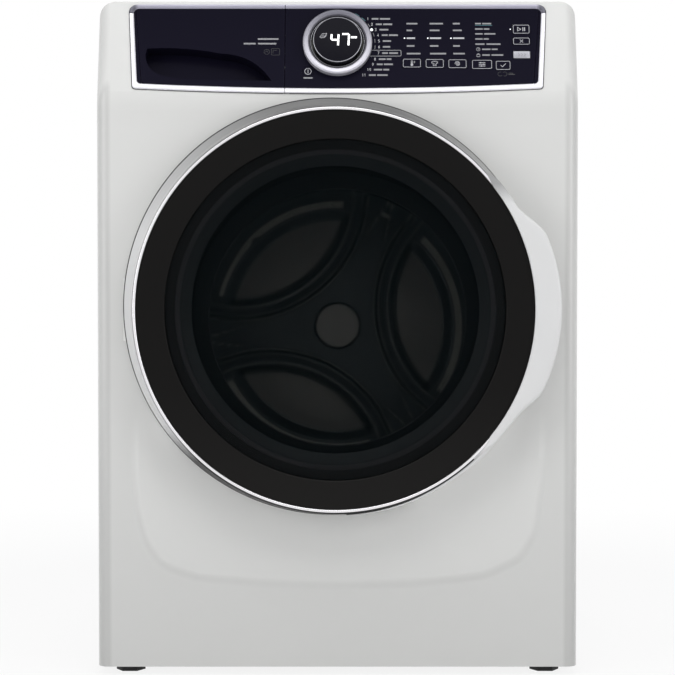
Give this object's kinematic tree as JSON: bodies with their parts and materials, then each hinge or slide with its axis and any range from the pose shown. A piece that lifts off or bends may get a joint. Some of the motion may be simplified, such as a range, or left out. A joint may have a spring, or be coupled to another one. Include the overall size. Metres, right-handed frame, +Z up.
{
  "type": "front load washing machine",
  "caption": "Front load washing machine with a round glazed door, leaning control console, dosing drawer, steel drum and sprung tub in a white cabinet.",
  "frame": {"origin": "middle of the footprint at floor level, under the four feet", "axes": "+Z up, -Y towards the user (the door and console face -Y), +X to the user's right"},
  "size_m": [0.686, 0.813, 0.965],
  "materials": {
    "cabinet_white": "gloss",
    "zinc": "satin",
    "drum_steel": "satin",
    "tub_plastic": "matte",
    "black_plastic": "matte",
    "bezel_black": "gloss",
    "console_black": "satin",
    "white_plastic": "gloss",
    "grey_plastic": "satin",
    "chrome_trim": "polished",
    "smoked_glass": "gloss",
    "clear_glass": "gloss",
    "grey_rubber": "matte",
    "black_rubber": "matte",
    "iron": "matte",
    "light_alloy": "satin",
    "steel": "satin",
    "board_plastic": "matte"
  },
  "bodies": {
    "cabinet": {"front_panel": "cabinet_white", "cabinet_shell": "cabinet_white", "back_panel": "zinc", "top_panel": "cabinet_white", "base_frame": "black_plastic", "top_brace": "zinc", "suspension_springs": "steel", "damper_cylinders": "black_plastic", "door_gasket": "grey_rubber", "drain_pump": "black_plastic", "sump_hose": "black_rubber", "dispenser_housing": "tub_plastic", "dispenser_hose": "black_rubber", "water_valves": "white_plastic", "fixed_hoses": "black_rubber", "console_trim": "chrome_trim", "control_fascia": "console_black", "control_board": "board_plastic", "display_lens": "bezel_black", "door_hinge": "zinc", "door_lock": "black_plastic"},
    "tub": {"tub_front": "tub_plastic", "tub_rear": "tub_plastic", "counterweights": "iron", "bearings": "steel", "motor": "light_alloy", "drive_belt": "black_rubber", "damper_rods": "tub_plastic"},
    "drum": {"drum_shell": "drum_steel", "drum_lifters": "grey_plastic", "drum_spider": "light_alloy", "drum_pulley": "light_alloy"},
    "motor_rotor": {"motor_pulley": "steel"},
    "door": {"door_frame": "white_plastic", "door_handle": "white_plastic", "door_chrome_ring": "chrome_trim", "door_bezel": "bezel_black", "door_lens": "smoked_glass", "door_bowl": "clear_glass", "door_inner_frame": "white_plastic", "hinge_leaf": "zinc"},
    "latch": {"latch_hook": "zinc"},
    "drawer": {"drawer_front": "console_black", "drawer_trim": "chrome_trim", "drawer_tray": "white_plastic", "siphon_cover": "white_plastic"},
    "dial": {"dial_ring": "chrome_trim"},
    "key_power": {"key_power": "console_black"},
    "key_temp": {"key_temp": "console_black"},
    "key_soil": {"key_soil": "console_black"},
    "key_spin": {"key_spin": "console_black"},
    "key_options": {"key_options": "console_black"},
    "key_select": {"key_select": "console_black"},
    "key_start": {"key_start": "console_black"},
    "key_cancel": {"key_cancel": "console_black"},
    "key_boost": {"key_boost": "chrome_trim"},
    "foot_front_left": {"foot_front_left": "black_rubber"},
    "foot_front_right": {"foot_front_right": "black_rubber"},
    "foot_rear_left": {"foot_rear_left": "black_rubber"},
    "foot_rear_right": {"foot_rear_right": "black_rubber"}
  },
  "joints": [
    {"name": "tub_float", "type": "slide", "parent": "cabinet", "child": "tub", "axis": [0, 0, 1], "range_m": [-0.015, 0.015], "stiffness_N_per_m": 20000, "springref_m": 0.02818, "deforming": ["suspension_springs", "door_gasket", "sump_hose", "dispenser_hose"]},
    {"name": "drum_spin", "type": "hinge", "parent": "tub", "child": "drum", "pos_m": [0, -0.352, 0.512], "axis": [0, 0.9988, -0.0489], "continuous": true},
    {"name": "motor_spin", "type": "hinge", "parent": "tub", "child": "motor_rotor", "pos_m": [0.15, -0.36838, 0.17713], "axis": [0, 0.9988, -0.0489], "continuous": true},
    {"name": "door_swing", "type": "hinge", "parent": "cabinet", "child": "door", "pos_m": [-0.298, -0.3705, 0.523], "axis": [0, 0, -1], "range_deg": [0, 120]},
    {"name": "latch_tilt", "type": "hinge", "parent": "door", "child": "latch", "pos_m": [0.228, -0.3585, 0.523], "axis": [-1, 0, 0], "range_deg": [0, 8], "stiffness_Nm_per_rad": 0.2},
    {"name": "drawer_slide", "type": "slide", "parent": "cabinet", "child": "drawer", "axis": [0, -1, 0], "range_m": [0, 0.17]},
    {"name": "dial_turn", "type": "hinge", "parent": "cabinet", "child": "dial", "pos_m": [0, -0.32549, 0.9016], "axis": [0, -0.9511, 0.309], "continuous": true},
    {"name": "key_power_press", "type": "slide", "parent": "cabinet", "child": "key_power", "axis": [0, 0.9511, -0.309], "range_m": [0, 0.001], "stiffness_N_per_m": 1500},
    {"name": "key_temp_press", "type": "slide", "parent": "cabinet", "child": "key_temp", "axis": [0, 0.9511, -0.309], "range_m": [0, 0.001], "stiffness_N_per_m": 1500},
    {"name": "key_soil_press", "type": "slide", "parent": "cabinet", "child": "key_soil", "axis": [0, 0.9511, -0.309], "range_m": [0, 0.001], "stiffness_N_per_m": 1500},
    {"name": "key_spin_press", "type": "slide", "parent": "cabinet", "child": "key_spin", "axis": [0, 0.9511, -0.309], "range_m": [0, 0.001], "stiffness_N_per_m": 1500},
    {"name": "key_options_press", "type": "slide", "parent": "cabinet", "child": "key_options", "axis": [0, 0.9511, -0.309], "range_m": [0, 0.001], "stiffness_N_per_m": 1500},
    {"name": "key_select_press", "type": "slide", "parent": "cabinet", "child": "key_select", "axis": [0, 0.9511, -0.309], "range_m": [0, 0.001], "stiffness_N_per_m": 1500},
    {"name": "key_start_press", "type": "slide", "parent": "cabinet", "child": "key_start", "axis": [0, 0.9511, -0.309], "range_m": [0, 0.001], "stiffness_N_per_m": 1500},
    {"name": "key_cancel_press", "type": "slide", "parent": "cabinet", "child": "key_cancel", "axis": [0, 0.9511, -0.309], "range_m": [0, 0.001], "stiffness_N_per_m": 1500},
    {"name": "key_boost_press", "type": "slide", "parent": "cabinet", "child": "key_boost", "axis": [0, 0.9511, -0.309], "range_m": [0, 0.001], "stiffness_N_per_m": 1500},
    {"name": "foot_front_left_screw", "type": "slide", "parent": "cabinet", "child": "foot_front_left", "axis": [0, 0, -1], "range_m": [0, 0.025]},
    {"name": "foot_front_right_screw", "type": "slide", "parent": "cabinet", "child": "foot_front_right", "axis": [0, 0, -1], "range_m": [0, 0.025]},
    {"name": "foot_rear_left_screw", "type": "slide", "parent": "cabinet", "child": "foot_rear_left", "axis": [0, 0, -1], "range_m": [0, 0.025]},
    {"name": "foot_rear_right_screw", "type": "slide", "parent": "cabinet", "child": "foot_rear_right", "axis": [0, 0, -1], "range_m": [0, 0.025]}
  ],
  "couplings": [
    {"joint": "motor_spin", "follows": "drum_spin", "ratio": 12.5}
  ]
}
